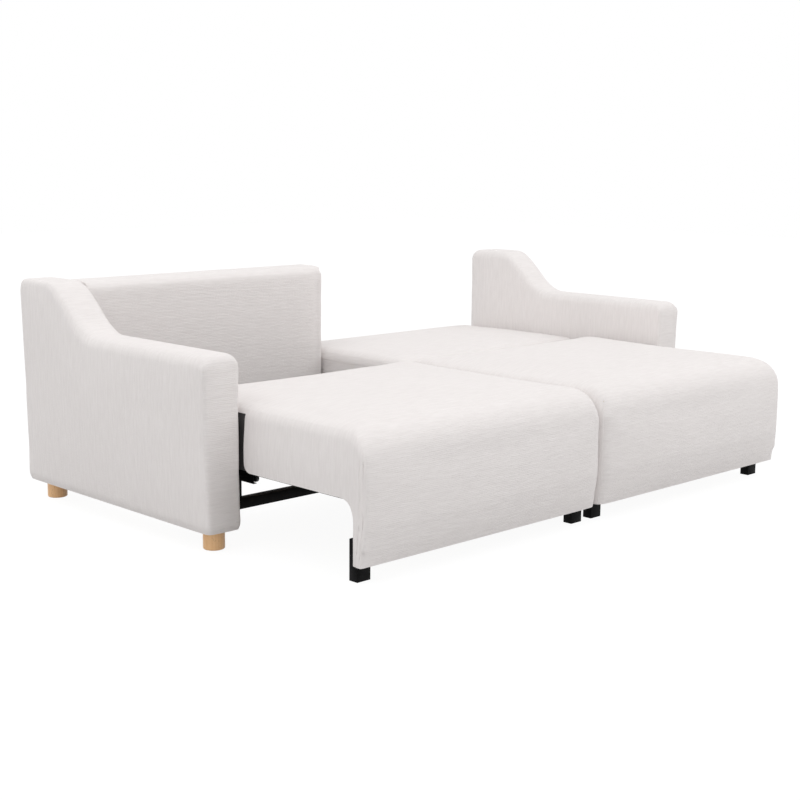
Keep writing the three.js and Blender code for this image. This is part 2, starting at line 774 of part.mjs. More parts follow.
function add_base() {
  add(sofa, 'front_cross_bar', 'black_steel', cross_bar(front_bar_y));
  add(sofa, 'rear_cross_bar', 'black_steel', cross_bar(rear_bar_y));
  add(sofa, 'centre_beam', 'black_steel', centre_beam());
  add(sofa, 'centre_pivot_plate', 'black_steel', centre_pivot_plate());
  for (const [end, share] of [['front', centre_leg_share], ['rear', 1 - centre_leg_share]]) {
    add(sofa, `centre_${end}_leg`, 'black_steel', centre_leg(centre_leg_y(share)));
    add(sofa, `centre_${end}_glide`, 'black_plastic', centre_glide(centre_leg_y(share)));
  }
}

function add_seat(name, side) {
  const x = side * seat_centre_x;
  add(sofa, `${name}_seat_cover`, 'upholstery', seat_cover(x));
  add(sofa, `${name}_seat_foam`, 'foam', seat_foam(x));
  add(sofa, `${name}_seat_frame`, 'timber', seat_frame(x));
  for (const [place, outward] of [['outer', side], ['inner', -side]]) {
    const origin = x + outward * rail_offset;
    add(sofa, `${name}_${place}_fixed_rail`, 'black_steel', fixed_rail(origin, -outward));
    add(sofa, `${name}_${place}_front_roller`, 'black_plastic', front_roller(origin, -outward));
    add(sofa, `${name}_${place}_seat_runner`, 'black_steel', seat_runner(origin, -outward));
    add(sofa, `${name}_${place}_rear_roller`, 'black_plastic', rear_roller(origin, -outward));
    add(sofa, `${name}_${place}_seat_foot`, 'black_steel', seat_foot(x, outward));
  }
}

function add_back(name, side, turn) {
  const back = new THREE.Group();
  back.position.set(side * seat_centre_x, pivot_y, pivot_z);
  back.rotation.x = turn;
  add(back, `${name}_back_cover`, 'upholstery', back_cover());
  add(back, `${name}_back_foam`, 'foam', back_foam());
  add(back, `${name}_back_frame`, 'timber', back_frame());
  add(back, `${name}_back_dust_cover`, 'black_cloth', back_dust_cover());
  add(back, `${name}_back_outer_pivot_plate`, 'zinc_steel', pivot_plate(side));
  add(back, `${name}_back_inner_pivot_plate`, 'zinc_steel', pivot_plate(-side));
  sofa.add(back);
}

add_arm('left', -1);
add_arm('right', 1);
add_base();
add_seat('left', -1);
add_seat('right', 1);
add_back('left', -1, -quarter_turn);
add_back('right', 1, 0);

export default sofa;
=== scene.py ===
# A two-seat sofa bed: two arms on wooden legs, two seats that roll out and two backs that fold flat.
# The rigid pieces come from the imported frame; this script finishes them and makes the upholstery.
import json
import math

import bmesh
import bpy
import numpy as np
from mathutils import Matrix, Vector
from mathutils.geometry import interpolate_bezier

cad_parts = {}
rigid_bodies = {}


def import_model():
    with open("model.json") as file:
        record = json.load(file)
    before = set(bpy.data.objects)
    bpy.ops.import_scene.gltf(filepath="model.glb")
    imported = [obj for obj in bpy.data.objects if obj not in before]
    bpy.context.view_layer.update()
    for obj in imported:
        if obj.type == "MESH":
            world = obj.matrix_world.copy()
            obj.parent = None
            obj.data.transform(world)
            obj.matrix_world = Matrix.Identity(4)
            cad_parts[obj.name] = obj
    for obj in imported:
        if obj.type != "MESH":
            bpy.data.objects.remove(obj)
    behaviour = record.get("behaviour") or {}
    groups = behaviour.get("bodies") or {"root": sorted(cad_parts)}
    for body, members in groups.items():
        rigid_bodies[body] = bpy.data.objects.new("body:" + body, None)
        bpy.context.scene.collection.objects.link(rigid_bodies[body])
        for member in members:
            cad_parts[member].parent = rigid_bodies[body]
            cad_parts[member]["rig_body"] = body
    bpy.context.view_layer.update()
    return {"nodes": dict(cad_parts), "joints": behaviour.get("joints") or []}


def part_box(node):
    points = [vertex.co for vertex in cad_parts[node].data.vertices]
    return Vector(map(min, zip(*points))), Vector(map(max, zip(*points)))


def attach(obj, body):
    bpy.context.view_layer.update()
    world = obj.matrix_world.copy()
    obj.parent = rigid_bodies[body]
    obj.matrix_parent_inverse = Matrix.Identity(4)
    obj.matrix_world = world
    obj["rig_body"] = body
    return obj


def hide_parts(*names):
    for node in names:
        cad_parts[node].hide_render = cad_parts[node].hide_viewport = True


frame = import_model()
nodes = frame["nodes"]


# The camera stands in front of the left arm, a little above the backs, and looks along the room.
# Its place, turn and lens were fitted to the photograph's edges and to the feet on the floor.
camera_place = (-3.563, -3.499, 1.178)
camera_turn = math.radians(44.333)
camera_dip = math.radians(9.994)
camera_roll = math.radians(0.472)
focal_share = 1.78625

camera_data = bpy.data.cameras.new("camera")
camera_data.lens = focal_share * camera_data.sensor_width
camera = bpy.data.objects.new("camera", camera_data)
camera.matrix_world = (
    Matrix.Translation(camera_place)
    @ Matrix.Rotation(-camera_turn, 4, "Z")
    @ Matrix.Rotation(math.pi / 2 - camera_dip, 4, "X")
    @ Matrix.Rotation(camera_roll, 4, "Z")
)
bpy.context.scene.collection.objects.link(camera)
bpy.context.scene.camera = camera
bpy.context.scene.view_settings.view_transform = "Standard"


# The studio: a wide pale floor that shows white to the camera and keeps a faint contact shadow,
# an even white surround and two large soft lamps, above the front right and above the left arm.
floor_half = 14.0
floor_drop = 0.0006
floor_glow = 0.94
floor_share = 0.1
floor_bounce = 0.58
surround_light = 0.915
lamp_size = 4.0
lamp_aim = Vector((0.0, -0.1, 0.4))
lamps = (("front_lamp", (4.0, -4.0, 4.0), 74.0), ("side_lamp", (-3.0, 0.2, 4.8), 58.0))


def put(tree, kind, inputs=None, **settings):
    """Adds a shader node. An input is a value or another node's socket."""
    made = tree.nodes.new(kind)
    for name, value in settings.items():
        setattr(made, name, value)
    for name, value in (inputs or {}).items():
        if isinstance(value, bpy.types.NodeSocket):
            tree.links.new(value, made.inputs[name])
        else:
            made.inputs[name].default_value = value
    return made


def maths(tree, operation, first, second=0.0):
    return put(tree, "ShaderNodeMath", {0: first, 1: second}, operation=operation).outputs[0]


def seen_directly(tree):
    """One where the camera, a reflection or a refraction looks, and nought for light."""
    path = put(tree, "ShaderNodeLightPath")
    seen = maths(tree, "ADD", path.outputs["Is Camera Ray"], path.outputs["Is Glossy Ray"])
    seen = maths(tree, "ADD", seen, path.outputs["Is Transmission Ray"])
    return maths(tree, "MINIMUM", seen, 1.0)


surround = bpy.data.worlds.new("surround")
surround.use_nodes = True
bpy.context.scene.world = surround
tree = surround.node_tree
tree.nodes.clear()
inputs = {"Value": seen_directly(tree), "To Min": surround_light, "To Max": 1.0}
strength = put(tree, "ShaderNodeMapRange", inputs)
sky = put(tree, "ShaderNodeBackground", {"Color": (1, 1, 1, 1), "Strength": strength.outputs[0]})
put(tree, "ShaderNodeOutputWorld", {"Surface": sky.outputs[0]})

floor_form = bmesh.new()
bmesh.ops.create_grid(floor_form, x_segments=1, y_segments=1, size=floor_half)
bmesh.ops.translate(floor_form, vec=(0, 0, -floor_drop), verts=floor_form.verts)
floor_mesh = bpy.data.meshes.new("floor")
floor_form.to_mesh(floor_mesh)
floor_form.free()
floor = bpy.data.objects.new("floor", floor_mesh)
bpy.context.scene.collection.objects.link(floor)
floor_paint = bpy.data.materials.new("floor_paint")
floor_paint.use_nodes = True
tree = floor_paint.node_tree
tree.nodes.clear()
plain = put(tree, "ShaderNodeBsdfDiffuse", {"Color": (floor_bounce, floor_bounce, floor_bounce, 1)})
faint = put(tree, "ShaderNodeBsdfDiffuse", {"Color": (floor_share, floor_share, floor_share, 1)})
glow = put(tree, "ShaderNodeEmission", {"Color": (1, 1, 1, 1), "Strength": floor_glow})
shown = put(tree, "ShaderNodeAddShader", {0: faint.outputs[0], 1: glow.outputs[0]})
either = put(tree, "ShaderNodeMixShader", {0: seen_directly(tree), 1: plain.outputs[0], 2: shown.outputs[0]})
put(tree, "ShaderNodeOutputMaterial", {"Surface": either.outputs[0]})
floor_mesh.materials.append(floor_paint)

for name, place, watts in lamps:
    lamp_data = bpy.data.lights.new(name, "AREA")
    lamp_data.size = lamp_size
    lamp_data.energy = watts
    lamp = bpy.data.objects.new(name, lamp_data)
    lamp.location = place
    lamp.rotation_euler = (lamp_aim - Vector(place)).to_track_quat("-Z", "Y").to_euler()
    bpy.context.scene.collection.objects.link(lamp)


# The steel base: two rectangular tubes between the arms, a beam between them, the runners, the
# brackets and the seat feet. All is welded sheet and tube under a black powder coat.
steel_edge = 0.0007
sharp_edge = math.radians(25)
flat_enough = math.radians(0.5)
crease_angle = math.radians(30)
coat_colour = (0.004, 0.004, 0.0042, 1)
coat_scuffed = (0.012, 0.012, 0.0125, 1)
coat_roughness = 0.55
coat_gloss = 0.06
coat_dimple = 0.0016
coat_depth = 0.00006


def body_of(node):
    return nodes[node]["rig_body"]


def linked(name, mesh):
    piece = bpy.data.objects.new(name, mesh)
    bpy.context.scene.collection.objects.link(piece)
    return piece


def eased(node, name, radius, steps=2):
    """A copy of a frame node with its sharp edges rounded, which stands for that node."""
    form = bmesh.new()
    form.from_mesh(nodes[node].data)
    bmesh.ops.remove_doubles(form, verts=form.verts, dist=1e-5)
    bmesh.ops.dissolve_limit(form, angle_limit=flat_enough, verts=form.verts, edges=form.edges)
    sharp = [edge for edge in form.edges
             if len(edge.link_faces) == 2 and edge.calc_face_angle() > sharp_edge]
    bmesh.ops.bevel(form, geom=sharp, offset=radius, offset_type="OFFSET", segments=steps, profile=0.5,
                    affect="EDGES", clamp_overlap=True, material=-1)
    mesh = bpy.data.meshes.new(name)
    form.to_mesh(mesh)
    form.free()
    mesh.shade_smooth()
    mesh.set_sharp_from_angle(angle=crease_angle)
    piece = linked(name, mesh)
    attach(piece, body_of(node))
    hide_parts(node)
    return piece


def new_group(name, inputs, outputs):
    """An empty shader group with named sockets, and its two end nodes."""
    made = bpy.data.node_groups.new(name, "ShaderNodeTree")
    for label, kind, value in inputs:
        socket = made.interface.new_socket(label, in_out="INPUT", socket_type=kind)
        if value is not None:
            socket.default_value = value
    for label, kind in outputs:
        made.interface.new_socket(label, in_out="OUTPUT", socket_type=kind)
    return made, made.nodes.new("NodeGroupInput"), made.nodes.new("NodeGroupOutput")


def noise(tree, place, scale, detail=2.0, roughness=0.5):
    inputs = {"Vector": place, "Scale": scale, "Detail": detail, "Roughness": roughness}
    return put(tree, "ShaderNodeTexNoise", inputs).outputs["Fac"]


def scaled(tree, place, scale):
    return put(tree, "ShaderNodeMapping", {"Vector": place, "Scale": scale}).outputs[0]


def between(tree, share, first, second):
    """A colour between two others."""
    mix = put(tree, "ShaderNodeMix", {0: share, 6: first, 7: second}, data_type="RGBA")
    return mix.outputs[2]


def spread(tree, value, low, high, to_low=0.0, to_high=1.0):
    inputs = {"Value": value, "From Min": low, "From Max": high, "To Min": to_low, "To Max": to_high}
    return put(tree, "ShaderNodeMapRange", inputs).outputs[0]


def fine_skin_group():
    """Small dimples and rubbed patches, as on powder coat, zinc and moulded plastic."""
    tree, given, result = new_group(
        "fine_skin",
        [("Place", "NodeSocketVector", None), ("Dimple", "NodeSocketFloat", 0.0016),
         ("Patch", "NodeSocketFloat", 0.06)],
        [("Height", "NodeSocketFloat"), ("Rubbed", "NodeSocketFloat")],
    )
    dimples_per_metre = maths(tree, "DIVIDE", 1.0, given.outputs["Dimple"])
    dimples = noise(tree, given.outputs["Place"], dimples_per_metre, 3.0)
    patches_per_metre = maths(tree, "DIVIDE", 1.0, given.outputs["Patch"])
    patches = noise(tree, given.outputs["Place"], patches_per_metre, 5.0, 0.65)
    tree.links.new(dimples, result.inputs["Height"])
    tree.links.new(spread(tree, patches, 0.45, 0.72), result.inputs["Rubbed"])
    return tree


fine_skin = fine_skin_group()


def new_material(name, **values):
    """A material with one Principled shader; plain values sit on the shader's own sockets."""
    made = bpy.data.materials.new(name)
    made.use_nodes = True
    tree = made.node_tree
    shader = tree.nodes["Principled BSDF"]
    for label, value in values.items():
        shader.inputs[label.replace("_", " ")].default_value = value
    return made, tree, shader


def object_place(tree):
    return put(tree, "ShaderNodeTexCoord").outputs["Object"]


def raise_surface(tree, shader, height, metres):
    bump = put(tree, "ShaderNodeBump", {"Height": height, "Distance": metres, "Strength": 1.0})
    tree.links.new(bump.outputs[0], shader.inputs["Normal"])


def skin_material(name, colour, rubbed, roughness, metallic, dimple, depth, gloss=0.5):
    made, tree, shader = new_material(name, Metallic=metallic, Specular_IOR_Level=gloss)
    skin = put(tree, "ShaderNodeGroup", node_tree=fine_skin)
    tree.links.new(object_place(tree), skin.inputs["Place"])
    skin.inputs["Dimple"].default_value = dimple
    tint = between(tree, skin.outputs["Rubbed"], colour, rubbed)
    tree.links.new(tint, shader.inputs["Base Color"])
    rough = spread(tree, skin.outputs["Rubbed"], 0.0, 1.0, roughness, roughness * 0.8)
    tree.links.new(rough, shader.inputs["Roughness"])
    raise_surface(tree, shader, skin.outputs["Height"], depth)
    return made


powder_coat = skin_material("powder_coat", coat_colour, coat_scuffed, roughness=coat_roughness, metallic=0.0,
                            dimple=coat_dimple, depth=coat_depth, gloss=coat_gloss)
sides = ("left", "right")
ends = ("outer", "inner")
steel_nodes = ["front_cross_bar", "rear_cross_bar", "centre_beam", "centre_pivot_plate"]
steel_nodes += [f"{side}_pivot_bracket" for side in sides]
steel_nodes += [f"{side}_{end}_{part}" for side in sides for end in ends
                for part in ("fixed_rail", "seat_runner", "seat_foot")]
for node in steel_nodes:
    piece = eased(node, node + "_finish", steel_edge)
    piece.data.materials.append(powder_coat)


# The middle legs: short round steel posts under the beam, each with a screwed glide to level it.
# The post is turned and powder coated, the glide is a nylon foot on a threaded stem.
post_edge = 0.0012
round_steps = 48
turned_crease = math.radians(35)
nylon_colour = (0.02, 0.02, 0.021, 1)
nylon_rubbed = (0.05, 0.05, 0.052, 1)
thread_pitch = 0.0015
thread_depth = 0.0005


def turned(name, profile, centre, axis="Z", steps=round_steps):
    """A profile of radius and height, spun about an upright or a cross axis through centre."""
    form = bmesh.new()
    line = [form.verts.new((radius, 0, height)) for radius, height in profile]
    for first, second in zip(line, line[1:]):
        form.edges.new((first, second))
    bmesh.ops.spin(form, geom=form.verts[:] + form.edges[:], cent=(0, 0, 0), axis=(0, 0, 1),
                   angle=2 * math.pi, steps=steps, use_merge=True)
    bmesh.ops.remove_doubles(form, verts=form.verts, dist=1e-6)
    if axis == "X":
        bmesh.ops.rotate(form, verts=form.verts, cent=(0, 0, 0), matrix=Matrix.Rotation(math.pi / 2, 3, "Y"))
    bmesh.ops.translate(form, vec=centre, verts=form.verts)
    bmesh.ops.recalc_face_normals(form, faces=form.faces)
    mesh = bpy.data.meshes.new(name)
    form.to_mesh(mesh)
    form.free()
    mesh.shade_smooth()
    mesh.set_sharp_from_angle(angle=turned_crease)
    return linked(name, mesh)


nylon = skin_material("nylon", nylon_colour, nylon_rubbed, roughness=0.45, metallic=0.0,
                      dimple=0.0009, depth=0.00003)
flange_height = 0.004
flange_step = 0.003
stem_radius = 0.005
pad_height = 0.009
pad_neck = 0.7
pad_neck_height = 0.9
for end in ("front", "rear"):
    low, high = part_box(f"centre_{end}_leg")
    middle = (low + high) / 2
    radius = (high.x - low.x) / 2
    tall = high.z - low.z
    tube = radius - flange_step
    profile = [
        (stem_radius + post_edge, 0), (tube - post_edge, 0), (tube, post_edge),
        (tube, tall - flange_height), (radius, tall - flange_height), (radius, tall), (0, tall),
    ]
    post = turned(f"centre_{end}_post", [(0, post_edge)] + profile, (middle.x, middle.y, low.z))
    post.data.materials.append(powder_coat)
    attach(post, "root")
    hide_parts(f"centre_{end}_leg")
    low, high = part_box(f"centre_{end}_glide")
    radius = (high.x - low.x) / 2
    stem = [(stem_radius, pad_height)]
    turns = round((high.z - pad_height) / thread_pitch)
    for turn in range(turns):
        height = pad_height + turn * thread_pitch
        root, crest = height + thread_pitch / 4, height + thread_pitch * 3 / 4
        stem += [(stem_radius - thread_depth, root), (stem_radius, crest)]
    profile = [(0, 0), (radius - post_edge, 0), (radius, post_edge), (radius, pad_height / 2)]
    profile += [(radius * pad_neck, pad_height * pad_neck_height)] + stem + [(0, high.z)]
    glide = turned(f"centre_{end}_foot", profile, (middle.x, middle.y, 0), steps=round_steps // 2)
    glide.data.materials.append(nylon)
    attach(glide, f"centre_{end}_glide")
    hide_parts(f"centre_{end}_glide")


# The rollers: moulded nylon wheels with a bored hub, a shallow dish on each face and a flat tread.
# The front ones turn on the fixed rails, the rear ones on the runners under the seats.
dish_depth = 0.0012
rim_width = 0.0025
hub_width = 0.0022
axle_bore = 0.0034
tread_edge = 0.0006
for side in sides:
    for end in ends:
        for place in ("front", "rear"):
            node = f"{side}_{end}_{place}_roller"
            low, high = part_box(node)
            middle = (low + high) / 2
            radius = (high.z - low.z) / 2
            half = (high.x - low.x) / 2
            face = [
                (axle_bore, half), (axle_bore + hub_width, half), (axle_bore + hub_width, half - dish_depth),
                (radius - rim_width, half - dish_depth), (radius - rim_width, half),
                (radius - tread_edge, half), (radius, half - tread_edge),
            ]
            profile = face + [(across, -height) for across, height in reversed(face)] + face[:1]
            wheel = turned(f"{side}_{end}_{place}_wheel", profile, middle, axis="X")
            wheel.data.materials.append(nylon)
            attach(wheel, node)
            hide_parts(node)


# The wooden legs: turned from solid beech, 66 mm across, with a small round on both edges.
# Each screws up into the arm's base panel with a steel bolt and has a clear satin lacquer.
leg_round = 0.004
leg_round_steps = 4
leg_round_sides = 64
leg_clearance = 0.0003
beech_light = (0.98, 0.63, 0.33, 1)
beech_dark = (0.88, 0.52, 0.25, 1)
beech_fleck = (0.36, 0.18, 0.08, 1)
grain_depth = 0.00012


def weighed(tree, pairs):
    """The sum of some values, each times its share."""
    total = None
    for value, share in pairs:
        part = maths(tree, "MULTIPLY", value, share)
        total = part if total is None else maths(tree, "ADD", total, part)
    return total


def wood_grain_group():
    """Long grain along Z with soft rings and short dark flecks."""
    tree, given, result = new_group(
        "wood_grain",
        [("Place", "NodeSocketVector", None), ("Light", "NodeSocketColor", (0.7, 0.5, 0.3, 1)),
         ("Dark", "NodeSocketColor", (0.5, 0.3, 0.2, 1)), ("Fleck", "NodeSocketColor", (0.3, 0.2, 0.1, 1)),
         ("Fineness", "NodeSocketFloat", 1.0)],
        [("Colour", "NodeSocketColor"), ("Height", "NodeSocketFloat"), ("Gloss", "NodeSocketFloat")],
    )
    place = put(tree, "ShaderNodeVectorMath", {0: given.outputs["Place"]}, operation="SCALE")
    tree.links.new(given.outputs["Fineness"], place.inputs["Scale"])
    long_place = scaled(tree, place.outputs[0], (1.0, 1.0, 0.07))
    broad = noise(tree, long_place, 26.0, 3.0)
    fibre = noise(tree, long_place, 420.0, 3.0, 0.6)
    rings = put(tree, "ShaderNodeTexWave", {
        "Vector": long_place, "Scale": 34.0, "Distortion": 5.0, "Detail": 2.0, "Detail Scale": 1.2,
    }, wave_type="BANDS", bands_direction="X").outputs["Fac"]
    fleck_place = scaled(tree, place.outputs[0], (1.0, 1.0, 0.16))
    fleck = spread(tree, noise(tree, fleck_place, 520.0, 1.0), 0.66, 0.74)
    share = weighed(tree, ((rings, 0.45), (broad, 0.4), (fibre, 0.15)))
    body = between(tree, share, given.outputs["Light"], given.outputs["Dark"])
    colour = between(tree, maths(tree, "MULTIPLY", fleck, 0.55), body, given.outputs["Fleck"])
    tree.links.new(colour, result.inputs["Colour"])
    tree.links.new(maths(tree, "SUBTRACT", fibre, fleck), result.inputs["Height"])
    tree.links.new(maths(tree, "MULTIPLY", fibre, 0.2), result.inputs["Gloss"])
    return tree


wood_grain = wood_grain_group()


def wood_material(name, light, dark, fleck, roughness, fineness, turn=(0, 0, 0), coat=0.0):
    """Wood whose grain runs up, or as turn leads it."""
    made, tree, shader = new_material(name, Coat_Weight=coat, Coat_Roughness=0.3)
    place = put(tree, "ShaderNodeMapping", {"Vector": object_place(tree), "Rotation": turn}).outputs[0]
    grain = put(tree, "ShaderNodeGroup", node_tree=wood_grain)
    tree.links.new(place, grain.inputs["Place"])
    grain.inputs["Light"].default_value = light
    grain.inputs["Dark"].default_value = dark
    grain.inputs["Fleck"].default_value = fleck
    grain.inputs["Fineness"].default_value = fineness
    tree.links.new(grain.outputs["Colour"], shader.inputs["Base Color"])
    tree.links.new(maths(tree, "ADD", grain.outputs["Gloss"], roughness), shader.inputs["Roughness"])
    raise_surface(tree, shader, grain.outputs["Height"], grain_depth)
    return made


beech = wood_material("beech", beech_light, beech_dark, beech_fleck, roughness=0.38, fineness=1.0, coat=0.25)
bolt_radius = 0.005
for side in sides:
    for end in ("front", "rear"):
        node = f"{side}_{end}_leg"
        low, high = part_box(node)
        middle = (low + high) / 2
        radius = (high.x - low.x) / 2
        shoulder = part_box(f"{side}_arm_cover")[0].z - leg_clearance
        angles = [math.pi / 2 * step / leg_round_steps for step in range(leg_round_steps + 1)]
        lower = [(radius - leg_round + leg_round * math.sin(angle), leg_round - leg_round * math.cos(angle))
                 for angle in angles]
        upper = [(across, shoulder - height) for across, height in reversed(lower)]
        profile = [(0, 0)] + lower + upper + [(bolt_radius, shoulder), (bolt_radius, high.z), (0, high.z)]
        leg = turned(f"{side}_{end}_wooden_leg", profile, (middle.x, middle.y, 0), steps=leg_round_sides)
        leg.data.materials.append(beech)
        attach(leg, "root")
        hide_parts(node)


# The timber inside: sawn pine rails and slats in the seats and backs, plywood panels under the
# arms. It shows only from below and behind, with plain sawn faces and slightly eased edges.
timber_edge = 0.0015
pine_light = (0.66, 0.47, 0.26, 1)
pine_dark = (0.52, 0.33, 0.16, 1)
pine_fleck = (0.40, 0.24, 0.12, 1)
pine_across = wood_material("pine_across", pine_light, pine_dark, pine_fleck, roughness=0.62, fineness=0.45,
                            turn=(0, math.pi / 2, 0))
plywood = wood_material("plywood", pine_light, pine_dark, pine_fleck, roughness=0.6, fineness=0.35,
                        turn=(math.pi / 2, 0, 0))
for side in sides:
    for part, paint in (("arm_frame", plywood), ("arm_base_panel", plywood),
                        ("seat_frame", pine_across), ("back_frame", pine_across)):
        piece = eased(f"{side}_{part}", f"{side}_{part}_finish", timber_edge)
        piece.data.materials.append(paint)


# The foam in the seats and backs: plain cut blocks of cream polyurethane foam with open cells.
# They show between the slats from below.
foam_colour = (0.80, 0.72, 0.52, 1)
foam_shade = (0.66, 0.57, 0.38, 1)
foam_cell = 0.0022
foam_cell_depth = 0.0006
foam_round = 0.016
foam, tree, shader = new_material("foam", Roughness=0.95)
inputs = {"Vector": object_place(tree), "Scale": 1 / foam_cell}
cells = put(tree, "ShaderNodeTexVoronoi", inputs).outputs["Distance"]
tint = between(tree, spread(tree, cells, 0.1, 0.8), foam_shade, foam_colour)
tree.links.new(tint, shader.inputs["Base Color"])
raise_surface(tree, shader, cells, foam_cell_depth)
for side in sides:
    for part in ("seat_foam", "back_foam"):
        piece = eased(f"{side}_{part}", f"{side}_{part}_finish", foam_round, steps=3)
        piece.data.materials.append(foam)


# The arm covers: woven slub cloth over padding, from an outer and an inner side panel and one strip
# that runs up the front, over the sloping top and down the rear. Soft rolls hide the joins, and the
# arm widens a little towards its top.
arm_square = 0.01
arm_front_height = 0.59
arm_shoulder = 0.165
arm_slope = 0.276
arm_slope_head = 0.29
arm_slope_foot = 0.6
arm_slope_drop = 0.95
arm_slope_steps = 16
corner_pull = 0.55
arm_front_curve = 0.034
arm_rear_curve = 0.028
arm_front_fill = 0.015
arm_outer_round = 0.036
arm_peak_round = 0.016
arm_front_round = 0.018
arm_top_lean = 0.009
arm_foot_lean = 0.005
hem_tuck = 0.006
hem_tuck_height = 0.028
hem_tuck_pull = 1.2
arm_inner_round = 0.03
upright_round = 0.005
upright_fill = 0.005
upright_reach = 0.014
arm_slack = 0.002
arm_outer_swell = 0.012
arm_inner_swell = 0.005
arm_end_swell = 0.008
arm_top_swell = 0.011
arm_fullness = 0.6
bag_pressure = 4.0
bag_frames = 20
bag_percentile = 99.7
even_rounds = 12
arm_padding = 0.025
hem_allowance = 0.03
rim_crease = math.radians(50)
cloth_light = (0.86, 0.824, 0.812, 1)
cloth_shade = (0.78, 0.741, 0.729, 1)
rib_spacing = 0.0052
yarn_spacing = 0.0021
weave_depth = 0.0009
rib_wander = 0.004
slubs_per_metre = (15.0, 125.0)
yarns_per_metre = (34.0, 340.0)
clouds_per_metre = 4.5


def points_of(mesh):
    places = np.empty(len(mesh.vertices) * 3, np.float64)
    mesh.vertices.foreach_get("co", places)
    return places.reshape(-1, 3)


def set_points(mesh, places):
    mesh.vertices.foreach_set("co", places.astype(np.float32).ravel())
    mesh.update()


def corner_curve(start, corner, finish, steps=6):
    """A round corner from start to finish, in a side view of (y, z)."""
    start, corner, finish = Vector(start), Vector(corner), Vector(finish)
    handles = start.lerp(corner, corner_pull), finish.lerp(corner, corner_pull)
    return [(point.x, point.y) for point in interpolate_bezier(start, *handles, finish, steps)]


def arm_side_view(low, high, inset, bottom):
    """The arm from the side: high at the rear, a soft slope, then level to the front."""
    front, rear = low.y + inset - arm_front_fill, high.y - inset
    top, low_top = high.z - inset, arm_front_height - inset
    slope_start = high.y - arm_shoulder
    slope_end = slope_start - arm_slope
    view = [(front, bottom), (rear, bottom)]
    view += corner_curve((rear, top - arm_rear_curve), (rear, top), (rear - arm_rear_curve, top))
    head = (slope_start - arm_slope * arm_slope_head, top)
    foot = (slope_start - arm_slope * arm_slope_foot, top - (top - low_top) * arm_slope_drop)
    knots = [Vector(knot) for knot in ((slope_start, top), head, foot, (slope_end, low_top))]
    view += [(point.x, point.y) for point in interpolate_bezier(*knots, arm_slope_steps)]
    level_end, upright_end = (front + arm_front_curve, low_top), (front, low_top - arm_front_curve)
    view += corner_curve(level_end, (front, low_top), upright_end)
    return view


def carried_across(view, x_low, x_high):
    """A closed block with that side view."""
    form = bmesh.new()
    side = form.faces.new([form.verts.new((x_low, y, z)) for y, z in view])
    grown = bmesh.ops.extrude_face_region(form, geom=[side])
    moved = [item for item in grown["geom"] if isinstance(item, bmesh.types.BMVert)]
    bmesh.ops.translate(form, vec=(x_high - x_low, 0, 0), verts=moved)
    bmesh.ops.recalc_face_normals(form, faces=form.faces)
    return form


def keep_shape(piece):
    """Makes the piece's mesh what its modifiers show, and drops them."""
    shown = piece.evaluated_get(bpy.context.evaluated_depsgraph_get())
    shaped = bpy.data.meshes.new_from_object(shown)
    piece.modifiers.clear()
    piece.data = shaped


def skinned(form, name, square):
    """An object whose skin is even squares, ready to be blown up."""
    mesh = bpy.data.meshes.new(name)
    form.to_mesh(mesh)
    form.free()
    piece = linked(name, mesh)
    squares = piece.modifiers.new("squares", "REMESH")
    squares.mode = "VOXEL"
    squares.voxel_size = square
    keep_shape(piece)
    return piece


def evened(mesh, shift, rounds):
    """Averages neighbouring points' shifts, which takes small buckles and creases out of the swelling."""
    ends = np.empty(len(mesh.edges) * 2, np.int64)
    mesh.edges.foreach_get("vertices", ends)
    first, second = ends.reshape(-1, 2).T
    count = np.bincount(ends, minlength=len(shift))[:, None]
    for _ in range(rounds):
        total = np.zeros_like(shift)
        np.add.at(total, first, shift[second])
        np.add.at(total, second, shift[first])
        shift = (shift + total / count) / 2
    return shift


def stuffed(piece, held, reach, fullness, pressure=bag_pressure):
    """Blows the skin up as a cloth bag, with the held points pinned, and keeps a share of the swelling.
    Reach gives the most that a point moves down and up each axis. A fullness under 1 fills the edges."""
    rest = points_of(piece.data)
    bag = linked("bag", piece.data.copy())
    pins = bag.vertex_groups.new(name="pins")
    pins.add([int(place) for place in np.flatnonzero(held(rest))], 1.0, "ADD")
    cloth = bag.modifiers.new("stuffing", "CLOTH").settings
    cloth.use_pressure = True
    cloth.uniform_pressure_force = pressure
    cloth.effector_weights.gravity = 0.0
    cloth.vertex_group_mass = "pins"
    for step in range(1, bag_frames + 1):
        bpy.context.scene.frame_set(step)
    blown = bag.evaluated_get(bpy.context.evaluated_depsgraph_get())
    shift = points_of(blown.to_mesh()) - rest
    blown.to_mesh_clear()
    bpy.data.objects.remove(bag)
    bpy.context.scene.frame_set(1)
    for axis, (down, up) in enumerate(reach):
        along = shift[:, axis]
        most_down = max(1e-6, -np.percentile(along, 100 - bag_percentile))
        most_up = max(1e-6, np.percentile(along, bag_percentile))
        sunk = np.clip(-along / most_down, 0, 1) ** fullness * down
        raised = np.clip(along / most_up, 0, 1) ** fullness * up
        shift[:, axis] = raised - sunk
    set_points(piece.data, rest + evened(piece.data, shift, even_rounds))
    finer = piece.modifiers.new("finer", "SUBSURF")
    finer.levels = finer.render_levels = 1
    keep_shape(piece)


def trimmed(piece, point, outward):
    """Cuts the allowance off flat, which leaves a crisp sewn edge, and closes the cut."""
    form = bmesh.new()
    form.from_mesh(piece.data)
    cut = bmesh.ops.bisect_plane(form, geom=form.verts[:] + form.edges[:] + form.faces[:], dist=1e-6,
                                 plane_co=point, plane_no=outward, clear_outer=True)
    rim = [item for item in cut["geom_cut"] if isinstance(item, bmesh.types.BMEdge)]
    bmesh.ops.holes_fill(form, edges=rim, sides=0)
    form.to_mesh(piece.data)
    form.free()


